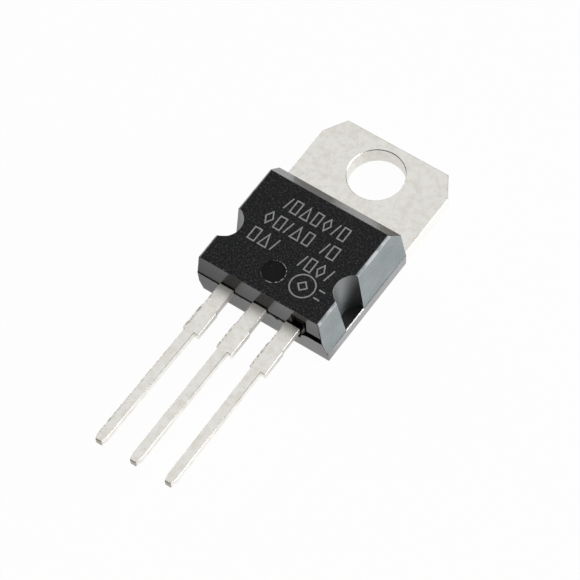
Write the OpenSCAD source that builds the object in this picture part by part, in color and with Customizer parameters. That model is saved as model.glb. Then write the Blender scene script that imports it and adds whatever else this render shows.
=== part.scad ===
// Three-lead voltage regulator in a moulded power package with a screw tab.
// It lies on its metal back: x across the tab, y along the leads with the tab
// towards +y, z through the thickness. The origin is the middle of the screw
// hole in the plane of the metal back. All sizes are in millimetres.

/* [Tab] */

// width of the screw tab
tab_width = 9.9; // [9.65:0.05:10.2]
// thickness of the tab and of the plate inside the body
plate_thick = 1.27; // [1.2:0.01:1.35]
// distance from the middle of the screw hole to the free end of the tab
hole_to_end = 2.52; // [2.45:0.01:2.95]
// diameter of the screw hole
hole_diameter = 3.86; // [3.6:0.02:4]
// coined edge round the screw hole on the upper side
hole_edge = 0.05; // [0.03:0.01:0.1]
// length of each cut corner along the end of the tab
corner_across = 1.0; // [0.4:0.05:1.4]
// length of each cut corner along the side of the tab
corner_along = 1.6; // [0.5:0.05:2]

/* [Plate inside the body] */

// width of the plate inside the body, upper half of its thickness
pad_width = 7.6; // [7:0.1:7.6]
// how far the back of the plate is stepped in on each side for the plastic
pad_step = 0.3; // [0.2:0.05:0.4]
// distance from the free end of the tab to the inner end of the plate
pad_reach = 12.4; // [12:0.05:12.6]
// distance from the edge of the body to the moisture groove across the plate
groove_back = 0.7; // [0.5:0.05:0.9]
// width of the moisture groove
groove_width = 0.4; // [0.3:0.05:0.6]
// depth of the moisture groove
groove_depth = 0.2; // [0.1:0.05:0.3]

/* [Leads] */

// distance between neighbouring leads
pitch = 2.54; // [2.54:0.01:2.54]
// thickness of the leads
lead_thick = 0.5; // [0.45:0.01:0.55]
// height of the upper face of the leads above the metal back
lead_top = 2.92; // [2.88:0.01:3.1]
// width of the long thin part of a lead
thin_width = 0.7; // [0.61:0.01:0.8]
// width of a lead where it leaves the body
exit_width = 1.06; // [1:0.02:1.3]
// width of a lead across the cut stub of the tie bar
stub_width = 1.2; // [1.14:0.02:1.5]
// sideways shift of the wide parts against the thin part
wide_shift = 0.1; // [0:0.02:0.15]
// distance from the hole to the end of the wide part
shoulder_reach = 16.75; // [16.4:0.05:17]
// length of the cut stub of the tie bar along a lead
stub_length = 2.0; // [1.2:0.1:2.4]
// how far the tips of the outer leads are spread sideways
lead_spread = 0.12; // [0:0.02:0.2]
// distance from the hole to the tip of the leads
tip_reach = 26.1; // [25.6:0.1:26.6]
// length of the taper at the tip
tip_taper = 0.5; // [0.3:0.05:0.8]
// width of the end face of a tip
tip_width = 0.42; // [0.35:0.01:0.5]

/* [Inside the body] */

// width of the bonding pad of an outer lead
bond_pad_width = 1.9; // [1.6:0.1:2]
// length of the bonding pad of an outer lead
bond_pad_length = 1.7; // [1.4:0.1:1.8]
// plastic between the bonding pad and the lead side of the body
bond_pad_cover = 0.8; // [0.7:0.05:1]
// diameter of the locking hole in a bonding pad
lock_hole = 0.5; // [0.4:0.05:0.6]
// distance from the edges of the bonding pad to the middle of the locking hole
lock_inset = 0.45; // [0.4:0.05:0.55]
// width of the neck that lifts the middle lead off the plate
neck_width = 1.4; // [1.2:0.1:1.6]
// width of the die
die_width = 2.4; // [1.8:0.1:2.8]
// length of the die
die_length = 2.0; // [1.6:0.1:2.4]
// thickness of the die
die_thick = 0.28; // [0.2:0.02:0.35]
// thickness of the solder under the die
solder_thick = 0.05; // [0.04:0.01:0.08]
// how far the solder shows round the die
solder_border = 0.12; // [0.1:0.02:0.2]
// distance from the hole to the middle of the die
die_reach = 7.1; // [6.8:0.1:7.3]
// diameter of the bond wires
wire_diameter = 0.2; // [0.15:0.01:0.25]

/* [Body] */

// thickness of the body
body_height = 4.5; // [4.45:0.01:4.6]
// how far the body stands out past each side of the tab, at its parting line
body_margin = 0.05; // [0.02:0.01:0.1]
// lean of each long side above the parting line
side_lean = 0.38; // [0.3:0.02:0.42]
// lean of each long side below the parting line
side_lower_lean = 0.09; // [0.02:0.01:0.12]
// radius of the two long upper edges
long_edge_radius = 0.22; // [0.18:0.02:0.4]
// height of the parting line on the two sides
side_parting = 1.1; // [1.05:0.01:1.2]
// step of the parting line on the two sides
side_step = 0.03; // [0.02:0.01:0.05]
// distance from the hole to the body over the tab
body_start = 3.86; // [3.8:0.02:4]
// lean of the wall over the tab
start_lean = 0.06; // [0:0.02:0.1]
// length of the bevel over the tab, measured along the body
bevel_along = 1.04; // [0.8:0.02:1.2]
// height of the bevel over the tab
bevel_down = 1.23; // [1:0.02:1.4]
// distance from the hole to the lead side of the body, along the top
body_end = 12.7; // [12.6:0.02:12.8]
// lean of the upper half of the lead side
upper_lean = 0.11; // [0.06:0.01:0.16]
// height of the parting line on the lead side
front_parting = 2.6; // [2.5:0.02:2.7]
// step of the parting line on the lead side
front_step = 0.06; // [0.04:0.01:0.1]
// lean of the lower half of the lead side
lower_lean = 0.4; // [0.3:0.02:0.5]

/* [Side notches] */

// distance from the hole to the middle of the side notches
notch_reach = 9.6; // [9.5:0.02:9.8]
// how far the axis of a side notch lies inside the side of the body
notch_inset = 0.025; // [0:0.005:0.05]
// how far both side notches sit to the right of the middle line
notch_shift = 0.1; // [0:0.02:0.12]
// radius of a side notch at the top of the body
notch_top_radius = 1.25; // [1.15:0.01:1.28]
// radius of a side notch at its floor
notch_floor_radius = 0.975; // [0.9:0.005:1]

/* [Mould marks] */

// diameter of the round ejector mark on the top
ejector_diameter = 1.55; // [1.4:0.05:1.7]
// depth of the ejector mark
ejector_depth = 0.08; // [0.05:0.01:0.12]
// distance from the hole to the middle of the ejector mark
ejector_reach = 11.05; // [10.9:0.05:11.15]
// depth of the pocket left where the resin gate was broken off
gate_depth = 0.32; // [0.2:0.02:0.4]
// lower edge of the gate slot above the metal back
gate_low = 2.45; // [2.42:0.01:2.5]
// height of the gate slot
gate_height = 0.46; // [0.4:0.02:0.5]
// plastic between the end of the gate slot and the side of the body
gate_margin = 0.28; // [0.26:0.02:0.4]
// how far the tall part of the gate pocket reaches past the middle of the lead
gate_tall_reach = 1.12; // [1.06:0.02:1.16]
// top of the tall part of the gate pocket
gate_tall_top = 3.95; // [3.8:0.05:4]
// radius of the rounded shoulder below the gate slot
gate_shoulder_radius = 1.05; // [0.9:0.05:1.35]

/* [Hidden] */

// fineness of the curved faces
$fn = 64;
// overshoot of cutting shapes past the faces they cut
over = 0.5;
// inner end of the plate
pad_end = pad_reach - hole_to_end;
// underside of the leads
lead_low = lead_top - lead_thick;
// the upper half of the lead side where it meets the parting line
front_upper = body_end + upper_lean;
// the lower half of the lead side where it meets the parting line
front_lower = front_upper + front_step;
// height of the lower edge of the bevel
bevel_foot = body_height - bevel_down;
// how far the neck is rooted in the plate
neck_root = 0.4;
// run of the sloped neck, and its angle
neck_flat = 0.35;
neck_run = 1.2;
neck_angle = atan2(lead_top - plate_thick, neck_run);
neck_shift = lead_thick * tan(neck_angle / 2);
// ends of the bonding pads
bond_pad_low = front_upper - bond_pad_cover;
bond_pad_high = bond_pad_low - bond_pad_length;
// upper face of the solder and of the die
solder_top = plate_thick + solder_thick;
die_top = solder_top + die_thick;
// flattened feet of the bond wires, and how far a foot reaches past its wire
foot_length = 0.45;
foot_back = 0.27;
foot_width = 0.26;
foot_height = 0.12;
// height at which the round wire leaves a foot
wire_rise = 0.075;
// distance from the edge of a die or a bonding pad to the middle of a wire foot
bond_inset = 0.5;
// places on the die where the wires land
die_bond_x = 0.75;
die_bond_y = die_reach + die_length / 2 - bond_inset;
die_ground_y = die_reach - die_length / 2 + bond_inset;
// the outer wires land on the bonding pads here
pad_bond_y = bond_pad_high + bond_inset;
// height of the middle of the outer wire loops
loop_mid = 1.62;
// span of the ground wire, and where it lands on the plate
ground_span = 1.3;
ground_bond_y = die_ground_y - ground_span;
ground_loop_mid = 1.1;
// half width of the body at its parting line
body_half = tab_width / 2 + body_margin;
// slope of the body sides, and the middle of the rounded long edges
side_slope = side_lean / (body_height - side_parting);
side_tilt = atan(side_slope);
edge_z = body_height - long_edge_radius;
edge_x = body_half - side_lean + side_slope * long_edge_radius
         - long_edge_radius / cos(side_tilt);
edge_touch_x = edge_x + long_edge_radius * cos(side_tilt);
edge_touch_z = edge_z + long_edge_radius * sin(side_tilt);
// distance from the middle line to the axis of a side notch
notch_axis = body_half - notch_inset;
// ends of the gate slot and of the tall part beside the lead
gate_end = body_half - gate_margin;
gate_tall_end = pitch + gate_tall_reach;
// how far the slot runs under the tall part, and the shoulder past and above it
gate_lap = 0.3;
gate_shoulder_lap = 0.38;
// middle of the rounded shoulder below the gate slot
gate_shoulder_x = gate_tall_end + gate_shoulder_lap;
gate_shoulder_z = gate_low - gate_shoulder_radius;
// slant at the ends of the cut stub of the tie bar
stub_slant = 0.06;
// overlap that joins shapes of one piece
join = 0.2;

// outline of the tab and of the wide part of the plate, seen from above
module tab_outline() {
  polygon([
    [-tab_width / 2, -body_start],
    [-tab_width / 2, hole_to_end - corner_along],
    [-tab_width / 2 + corner_across, hole_to_end],
    [tab_width / 2 - corner_across, hole_to_end],
    [tab_width / 2, hole_to_end - corner_along],
    [tab_width / 2, -body_start]
  ]);
}

// a point of a lead outline, moved sideways as far as the lead is spread there
function lead_point(x, reach, spread) =
  [x + spread * max(reach - front_upper, 0) / (tip_reach - front_upper), -reach];

// outline of a lead from its start outwards, with its own middle at x = 0
module lead_outline(start, spread) {
  stub_start = shoulder_reach - stub_length;
  wide_left = wide_shift - exit_width / 2;
  wide_right = wide_shift + exit_width / 2;
  stub_left = wide_shift - stub_width / 2;
  stub_right = wide_shift + stub_width / 2;
  polygon([
    lead_point(wide_left, start, spread),
    lead_point(wide_left, stub_start - stub_slant, spread),
    lead_point(stub_left, stub_start + stub_slant, spread),
    lead_point(stub_left, shoulder_reach - stub_slant, spread),
    lead_point(-thin_width / 2, shoulder_reach + stub_slant, spread),
    lead_point(-thin_width / 2, tip_reach - tip_taper, spread),
    lead_point(-tip_width / 2, tip_reach, spread),
    lead_point(tip_width / 2, tip_reach, spread),
    lead_point(thin_width / 2, tip_reach - tip_taper, spread),
    lead_point(thin_width / 2, shoulder_reach - stub_slant, spread),
    lead_point(stub_right, shoulder_reach, spread),
    lead_point(stub_right, stub_start + stub_slant, spread),
    lead_point(wide_right, stub_start - stub_slant, spread),
    lead_point(wide_right, start, spread)
  ]);
}

// side outline of the neck between the plate and the middle lead
module neck_profile() {
  polygon([
    [-pad_end + neck_root, plate_thick - lead_thick],
    [-pad_end - neck_flat - neck_shift, plate_thick - lead_thick],
    [-pad_end - neck_flat - neck_shift - neck_run, lead_low],
    [-front_upper, lead_low],
    [-front_upper, lead_top],
    [-pad_end - neck_flat - neck_run, lead_top],
    [-pad_end - neck_flat, plate_thick],
    [-pad_end + neck_root, plate_thick]
  ]);
}

// stamped plate with the screw tab and the middle lead, all one piece
module heat_tab() {
  color("silver")
  difference() {
    union() {
      linear_extrude(height = plate_thick) tab_outline();
      translate([-pad_width / 2, -pad_end, plate_thick / 2])
        cube([pad_width, pad_end - body_start + join, plate_thick / 2]);
      translate([-pad_width / 2 + pad_step, -pad_end, 0])
        cube([pad_width - 2 * pad_step, pad_end - body_start + join, plate_thick]);
      translate([neck_width / 2, 0, 0])
        rotate([90, 0, -90])
        linear_extrude(height = neck_width)
        mirror([1, 0]) neck_profile();
      translate([0, 0, lead_low])
        linear_extrude(height = lead_thick) lead_outline(front_upper - join, 0);
    }
    translate([0, 0, -over])
      cylinder(h = plate_thick + 2 * over, d = hole_diameter);
    translate([0, 0, plate_thick - hole_edge])
      cylinder(h = hole_edge, d1 = hole_diameter, d2 = hole_diameter + 2 * hole_edge);
    translate([-pad_width / 2 - over, -body_start - groove_back - groove_width,
               plate_thick - groove_depth])
      cube([pad_width + 2 * over, groove_width, groove_depth + over]);
  }
}

// one outer lead with its bonding pad, with its own middle at x = 0
module outer_lead(spread) {
  translate([0, 0, lead_low])
  difference() {
    union() {
      linear_extrude(height = lead_thick) lead_outline(bond_pad_low - join, spread);
      translate([-bond_pad_width / 2, -bond_pad_low, 0])
        cube([bond_pad_width, bond_pad_length, lead_thick]);
    }
    translate([-bond_pad_width / 2 + lock_inset, -bond_pad_low + lock_inset, -over])
      cylinder(h = lead_thick + 2 * over, d = lock_hole);
  }
}

module input_lead() {
  color("silver")
  translate([-pitch, 0, 0]) outer_lead(-lead_spread);
}

module output_lead() {
  color("silver")
  translate([pitch, 0, 0]) outer_lead(lead_spread);
}

// round wire loop from one flattened foot to another; the loop is one arc
module bond_wire(x1, y1, z1, x2, y2, z2, mid) {
  length = sqrt(pow(x2 - x1, 2) + pow(y2 - y1, 2));
  h1 = z1 + wire_rise;
  h2 = z2 + wire_rise;
  along = (length * length + pow(h2 - mid, 2) - pow(h1 - mid, 2)) / (2 * length);
  radius = sqrt(along * along + pow(h1 - mid, 2));
  from_angle = atan2(h1 - mid, -along);
  to_angle = atan2(h2 - mid, length - along);
  translate([x1, y1, 0])
  rotate([0, 0, atan2(y2 - y1, x2 - x1)]) {
    translate([along, 0, mid])
      rotate([90, 0, 0])
      rotate([0, 0, to_angle])
      rotate_extrude(angle = (from_angle < to_angle ? from_angle + 360 : from_angle) - to_angle)
      translate([radius, 0]) circle(d = wire_diameter, $fn = 24);
    translate([-foot_back, -foot_width / 2, z1])
      cube([foot_length, foot_width, foot_height]);
    translate([length + foot_back - foot_length, -foot_width / 2, z2])
      cube([foot_length, foot_width, foot_height]);
  }
}

module input_wire() {
  color("gainsboro")
  bond_wire(-die_bond_x, -die_bond_y, die_top, -pitch, -pad_bond_y, lead_top, loop_mid);
}

module output_wire() {
  color("gainsboro")
  bond_wire(die_bond_x, -die_bond_y, die_top, pitch, -pad_bond_y, lead_top, loop_mid);
}

module ground_wire() {
  color("gainsboro")
  bond_wire(0, -die_ground_y, die_top, 0, -ground_bond_y, plate_thick, ground_loop_mid);
}

module die() {
  color("dimgray")
  translate([-die_width / 2, -die_reach - die_length / 2, solder_top])
    cube([die_width, die_length, die_thick]);
}

module die_attach() {
  color("lightgray")
  translate([-die_width / 2 - solder_border, -die_reach - die_length / 2 - solder_border,
             plate_thick])
    cube([die_width + 2 * solder_border, die_length + 2 * solder_border, solder_thick]);
}

// the body seen from the lead side: leaning sides, long edges cut to a chord
module body_front_profile() {
  polygon([
    [-body_half - side_step + side_lower_lean, 0],
    [-body_half - side_step, side_parting],
    [-body_half, side_parting],
    [-edge_touch_x, edge_touch_z],
    [-edge_x, body_height],
    [edge_x, body_height],
    [edge_touch_x, edge_touch_z],
    [body_half, side_parting],
    [body_half + side_step, side_parting],
    [body_half + side_step - side_lower_lean, 0]
  ]);
}

// the leaning sides with their rounded long edges, as long as the body
module body_bar(length) {
  rotate([90, 0, 0]) {
    linear_extrude(height = length) body_front_profile();
    translate([edge_x, edge_z, 0]) cylinder(h = length, r = long_edge_radius);
    translate([-edge_x, edge_z, 0]) cylinder(h = length, r = long_edge_radius);
  }
}

// the body seen from the side: bevel over the tab, two halves on the lead side
module body_side_profile() {
  polygon([
    [-body_start, 0],
    [-body_start - start_lean, bevel_foot],
    [-body_start - start_lean - bevel_along, body_height],
    [-body_end, body_height],
    [-front_upper, front_parting],
    [-front_lower, front_parting],
    [-front_lower + lower_lean, 0]
  ]);
}

// bites out of the two long sides, narrower towards their floor
module side_notch() {
  translate([notch_axis, -notch_reach, side_parting])
    cylinder(h = body_height - side_parting, r1 = notch_floor_radius, r2 = notch_top_radius);
}

// broken-off resin gate beside the output lead
module gate_pocket() {
  translate([0, -front_upper + gate_depth, 0])
  rotate([90, 0, 0])
  linear_extrude(height = gate_depth + over) {
    translate([gate_tall_end - gate_lap, gate_low])
      square([gate_end - gate_tall_end + gate_lap, gate_height]);
    translate([pitch, gate_low])
      square([gate_tall_end - pitch, gate_tall_top - gate_low]);
    difference() {
      translate([pitch, gate_shoulder_z])
        square([gate_shoulder_x - pitch, gate_shoulder_radius + gate_shoulder_lap]);
      translate([gate_shoulder_x, gate_shoulder_z]) circle(r = gate_shoulder_radius);
    }
  }
}

// everything metal or silicon that sits inside the body
module inside_parts() {
  heat_tab();
  input_lead();
  output_lead();
  die();
  die_attach();
  input_wire();
  ground_wire();
  output_wire();
}

module body() {
  color("dimgray")
  difference() {
    intersection() {
      translate([0, -body_start + over, 0]) body_bar(front_lower - body_start + 2 * over);
      translate([-body_half - over, 0, 0])
        rotate([90, 0, 90])
        linear_extrude(height = 2 * (body_half + over)) body_side_profile();
    }
    translate([notch_shift, 0, 0]) {
      side_notch();
      mirror([1, 0, 0]) side_notch();
    }
    translate([0, -ejector_reach, body_height - ejector_depth])
      cylinder(h = ejector_depth + over, d = ejector_diameter);
    gate_pocket();
    inside_parts();
  }
}

heat_tab();
input_lead();
output_lead();
body();
die();
die_attach();
input_wire();
ground_wire();
output_wire();
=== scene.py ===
"""Looks of a three-lead voltage regulator in a moulded power package with a screw tab."""

import math

import bmesh
import bpy
import numpy as np
from bpy.props import FloatProperty, FloatVectorProperty, PointerProperty
from mathutils import Matrix, Vector


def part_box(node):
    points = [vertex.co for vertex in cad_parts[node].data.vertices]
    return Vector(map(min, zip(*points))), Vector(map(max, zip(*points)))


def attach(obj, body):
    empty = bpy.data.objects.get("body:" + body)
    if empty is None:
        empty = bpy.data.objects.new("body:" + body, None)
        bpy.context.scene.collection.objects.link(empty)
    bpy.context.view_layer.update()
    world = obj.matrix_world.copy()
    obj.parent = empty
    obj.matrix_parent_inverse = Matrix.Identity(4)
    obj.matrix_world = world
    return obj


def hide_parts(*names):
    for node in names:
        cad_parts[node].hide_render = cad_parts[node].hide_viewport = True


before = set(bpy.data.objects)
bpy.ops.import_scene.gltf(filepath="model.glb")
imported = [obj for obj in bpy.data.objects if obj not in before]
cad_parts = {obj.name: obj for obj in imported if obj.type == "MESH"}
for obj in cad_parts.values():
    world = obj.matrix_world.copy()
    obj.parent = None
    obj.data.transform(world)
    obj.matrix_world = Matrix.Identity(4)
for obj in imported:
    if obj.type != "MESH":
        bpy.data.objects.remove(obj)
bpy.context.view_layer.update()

bl_info = {
    "name": "Voltage regulator looks",
    "version": (1, 0, 0),
    "blender": (4, 5, 0),
    "location": "3D View > Sidebar > Regulator",
    "description": "Finishes, marks, studio and camera for a packed voltage regulator",
    "category": "Object",
}

MM = 0.001
BODY = "root"

# places on the packed model, in metres: the body's top, its lead side and the lead tips
BODY_LOW, BODY_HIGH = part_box("body")
BODY_TOP = BODY_HIGH.z
LEAD_SIDE = BODY_LOW.y
LEAD_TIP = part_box("input_lead")[0].y

# heights of the parting line, on the long sides and on the lead side
SIDE_PARTING = 1.1 * MM
FRONT_PARTING = 2.6 * MM
# place of the side notches' middle along the body
NOTCH_MIDDLE = -9.6 * MM
# middle lines of the three leads
PITCH = 2.54 * MM
LEAD_PLACES = (-PITCH, 0.0, PITCH)
# sides of the middle lead at the wall, and how deep the wall's own changes go
MIDDLE_LEAD_LEFT = -0.43 * MM
MIDDLE_LEAD_RIGHT = 0.63 * MM
WALL_DEPTH = -12.6 * MM
# middle and rim of the ejector mark
EJECTOR = (0.05 * MM, -11.05 * MM)
EJECTOR_RIM = 0.79 * MM
# middle of the bubble under the parting line, across and up the wall at the leads
BUBBLE = (1.36 * MM, 2.50 * MM)

# lines that tell the edges and faces of the packed parts apart, in millimetres
BASE_FACE = 0.01
TOP_FACE = 4.49
FRONT_FACE = -12.6
BEVEL_EDGE = -5.1
BEVEL_FACE = -5.2
FLANK_EDGE = 4.4
FLANK_FACE = 3.6
LEAD_CORNER = -12.3
AT_WALL = -12.7
LEAD_HEIGHT = 2.67
LEAD_REACH = 0.3
LEAD_HALF = 0.6
LEAD_OUTER = 0.75
LEAD_OPENING = 0.8
LEAD_INNER_END = -12.83
LEAD_INNER_BASE = 2.3
NEAR_STEP = 0.02
STEP_SIDE = 3.8
INSIDE_FRONT = -12.55
INSIDE_FLANK = 3.79
NOTCH_EDGES = 1.5
NOTCH_FACES = 1.3
NOTCH_FLOOR = 1.12
NOTCH_MOUTH = 4.3
NOTCH_CORNER = (4.1, 4.2)
EJECTOR_BASE = 4.3
EJECTOR_REACH = 0.8
POCKET_LEFT, POCKET_RIGHT = 2.5, 4.8
POCKET_FRONT, POCKET_BACK = -12.87, -12.45
POCKET_HEIGHT, POCKET_REACH = 2.7, 1.4
BORE_EDGE = 2.1
STEP_RADIUS = 0.01 * MM
# parts of a direction along one axis, for an upright edge, for a face that leans a little
# to a side, and for faces that look almost or wholly along the axis
UPRIGHT = 0.7
LEANING = 0.35
ALMOST_ALONG = 0.9
ALONG = 0.995

# loose triangles are merged and flat neighbours joined within these
MERGE_DISTANCE = 1e-7
FLAT_ANGLE = math.radians(0.6)
SMOOTH_ANGLE = math.radians(28.0)
SHARP_ANGLE = 25.0
ROUNDING_STEPS = 3


# Property groups


class MouldingFinish(bpy.types.PropertyGroup):
    """Colours and edge radii of the moulded body"""

    top_dark: FloatVectorProperty(
        name="Top, dark", description="Darkest colour of the eroded top",
        subtype="COLOR", size=3, min=0, max=1, default=(0.0110, 0.0112, 0.0117))
    top_light: FloatVectorProperty(
        name="Top, light", description="Colour of the pale grains in the eroded top",
        subtype="COLOR", size=3, min=0, max=1, default=(0.095, 0.098, 0.106))
    # the sides' dark epoxy is lifted to a bluish grey here, a painted sheen of the polished
    # flanks
    side: FloatVectorProperty(
        name="Sides", description="Colour of the smooth drafted sides",
        subtype="COLOR", size=3, min=0, max=1, default=(0.026, 0.052, 0.055))
    strip: FloatVectorProperty(
        name="Strip", description="Colour of the strip under the side parting line",
        subtype="COLOR", size=3, min=0, max=1, default=(0.075, 0.066, 0.074))
    # lighter colour of the notches' polished part: a painted reflection
    notch: FloatVectorProperty(
        name="Notches", description="Colour of the dusty polish in the side notches",
        subtype="COLOR", size=3, min=0, max=1, default=(0.085, 0.098, 0.102))
    wall: FloatVectorProperty(
        name="End walls", description="Colour of the walls at the leads and the tab",
        subtype="COLOR", size=3, min=0, max=1, default=(0.006, 0.006, 0.006))
    # warm colour over the output lead in the gate pocket: a painted reflection of the lead in the
    # wall
    painted_lead_reflection: FloatVectorProperty(
        name="Over the lead", description="Colour of the smooth resin over the output lead",
        subtype="COLOR", size=3, min=0, max=1, default=(0.055, 0.052, 0.045))
    # pale colour of real chips and specks, and also of painted highlights on the long edges,
    # along the notches' edges and as glints on the top's edges
    wear_and_highlight: FloatVectorProperty(
        name="Worn edges", description="Colour of chips and worn edges",
        subtype="COLOR", size=3, min=0, max=1, default=(0.55, 0.55, 0.57))
    corner_radius: FloatProperty(
        name="Corner radius", description="Radius of the upright corners",
        subtype="DISTANCE", unit="LENGTH", min=0, max=0.3 * MM, default=0.06 * MM)
    edge_radius: FloatProperty(
        name="Edge radius", description="Radius of the other outer edges",
        subtype="DISTANCE", unit="LENGTH", min=0, max=0.1 * MM, default=0.05 * MM)
    grain_size: FloatProperty(
        name="Grain size", description="Size of the grains in the eroded top",
        subtype="DISTANCE", unit="LENGTH", min=0.02 * MM, max=0.5 * MM, default=0.11 * MM)


class TinFinish(bpy.types.PropertyGroup):
    """Colours and edge radius of the tin-plated frame"""

    plate: FloatVectorProperty(
        name="Tin plate", description="Colour of the matt tin plate",
        subtype="COLOR", size=3, min=0, max=1, default=(0.93, 0.915, 0.87))
    plate_dark: FloatVectorProperty(
        name="Tin plate, dark", description="Colour of the dark clouds in the tin plate",
        subtype="COLOR", size=3, min=0, max=1, default=(0.7812, 0.754875, 0.696))
    # lighter colour of the tab's long sides: painted light on the sides
    painted_lit_side: FloatVectorProperty(
        name="Cut sides", description="Colour of the tab's cut long sides",
        subtype="COLOR", size=3, min=0, max=1, default=(0.975, 0.965, 0.945))
    # warm band on the tin next to the body: a painted reflection of the body in the tin
    tint: FloatVectorProperty(
        name="Heat tint", description="Colour of the tin next to the body",
        subtype="COLOR", size=3, min=0, max=1, default=(0.97, 0.92, 0.85))
    # dark colour of pits, nicks and cut tips, also used for painted shade along the leads' left
    # edges and in the bore
    pit_and_shade: FloatVectorProperty(
        name="Pits", description="Colour of the small pits and nicks",
        subtype="COLOR", size=3, min=0, max=1, default=(0.30, 0.27, 0.23))
    film: FloatVectorProperty(
        name="Resin film", description="Colour of the resin on the metal in the recess",
        subtype="COLOR", size=3, min=0, max=1, default=(0.02, 0.02, 0.02))
    edge_radius: FloatProperty(
        name="Edge radius", description="Radius of the stamped edges",
        subtype="DISTANCE", unit="LENGTH", min=0, max=0.1 * MM, default=0.04 * MM)


class InsideFinish(bpy.types.PropertyGroup):
    """Colours of the sealed pieces"""

    silicon: FloatVectorProperty(
        name="Silicon", description="Colour of the die",
        subtype="COLOR", size=3, min=0, max=1, default=(0.12, 0.13, 0.15))
    solder: FloatVectorProperty(
        name="Solder", description="Colour of the solder under the die",
        subtype="COLOR", size=3, min=0, max=1, default=(0.5, 0.5, 0.5))
    wire: FloatVectorProperty(
        name="Bond wires", description="Colour of the bond wires",
        subtype="COLOR", size=3, min=0, max=1, default=(0.8, 0.8, 0.82))


class MarkSizes(bpy.types.PropertyGroup):
    """Colour and sizes of the plain marks on the top"""

    colour: FloatVectorProperty(
        name="Mark colour", description="Colour of the marked strokes",
        subtype="COLOR", size=3, min=0, max=1, default=(0.43, 0.43, 0.425))
    stroke: FloatProperty(
        name="Stroke width", description="Width of the marked strokes",
        subtype="DISTANCE", unit="LENGTH", min=0.04 * MM, max=0.3 * MM, default=0.095 * MM)
    height: FloatProperty(
        name="Row height", description="Height of the shapes in a row",
        subtype="DISTANCE", unit="LENGTH", min=0.3 * MM, max=1.4 * MM, default=0.95 * MM)
    gap: FloatProperty(
        name="Gap", description="Gap between the shapes in a row",
        subtype="DISTANCE", unit="LENGTH", min=0.1 * MM, max=1.0 * MM, default=0.3 * MM)
    ring_radius: FloatProperty(
        name="Ring radius", description="Radius of the round mark",
        subtype="DISTANCE", unit="LENGTH", min=0.4 * MM, max=1.0 * MM, default=0.84 * MM)


class StudioSettings(bpy.types.PropertyGroup):
    """Camera and light"""

    azimuth: FloatProperty(
        name="Camera azimuth", description="Camera's turn round the object",
        subtype="ANGLE", unit="ROTATION", default=math.radians(42.126))
    elevation: FloatProperty(
        name="Camera elevation", description="Camera's height over the floor, as an angle",
        subtype="ANGLE", unit="ROTATION", default=math.radians(58.686))
    roll: FloatProperty(
        name="Camera roll", description="Camera's turn about its own axis",
        subtype="ANGLE", unit="ROTATION", default=math.radians(-7.823))
    distance: FloatProperty(
        name="Camera distance", description="Distance from the camera to its target",
        subtype="DISTANCE", unit="LENGTH", default=207.07 * MM)
    focal_length: FloatProperty(
        name="Focal length", description="Focal length for a 36 mm sensor",
        subtype="DISTANCE_CAMERA", unit="CAMERA", default=201.23)
    sky_front: FloatProperty(
        name="Front light", description="Strength of the room's light on the camera's side",
        min=0, max=4, default=0.06)
    sky_back: FloatProperty(
        name="Back light", description="Strength of the room's light behind the object",
        min=0, max=4, default=0.92)
    floor_shadow: FloatProperty(
        name="Floor shadow", description="How much of the object's shadow the floor shows",
        subtype="FACTOR", min=0, max=1, default=0.03)
    mirrored_shadow: FloatProperty(
        name="Mirrored shadow", description="How much of the shadow shows in reflections",
        subtype="FACTOR", min=0, max=1, default=0.40)


# Meshes


def edge_table(mesh):
    """Middle, direction, angle between the two faces in degrees, and whether it is
    an outer edge, for every edge of a closed mesh, all as arrays."""
    points = np.empty(len(mesh.vertices) * 3)
    mesh.vertices.foreach_get("co", points)
    points = points.reshape(-1, 3)
    ends = np.empty(len(mesh.edges) * 2, np.int64)
    mesh.edges.foreach_get("vertices", ends)
    ends = ends.reshape(-1, 2)
    normals = np.empty(len(mesh.polygons) * 3)
    mesh.polygons.foreach_get("normal", normals)
    normals = normals.reshape(-1, 3)
    centres = np.empty(len(mesh.polygons) * 3)
    mesh.polygons.foreach_get("center", centres)
    centres = centres.reshape(-1, 3)
    totals = np.empty(len(mesh.polygons), np.int64)
    mesh.polygons.foreach_get("loop_total", totals)
    face_of_loop = np.repeat(np.arange(len(mesh.polygons)), totals)
    edge_of_loop = np.empty(len(mesh.loops), np.int64)
    mesh.loops.foreach_get("edge_index", edge_of_loop)
    order = np.argsort(edge_of_loop, kind="stable")
    count = np.bincount(edge_of_loop, minlength=len(mesh.edges))
    if not (count == 2).all():
        raise RuntimeError("%s is not closed: %d open edges" % (mesh.name, (count != 2).sum()))
    first, second = face_of_loop[order].reshape(-1, 2).T
    middle = points[ends].mean(axis=1)
    direction = points[ends[:, 1]] - points[ends[:, 0]]
    direction /= np.maximum(np.linalg.norm(direction, axis=1, keepdims=True), 1e-12)
    cosine = np.clip((normals[first] * normals[second]).sum(axis=1), -1, 1)
    angle = np.degrees(np.arccos(cosine))
    outer = ((centres[second] - middle) * normals[first]).sum(axis=1) < 0
    return middle / MM, direction, angle, outer


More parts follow.
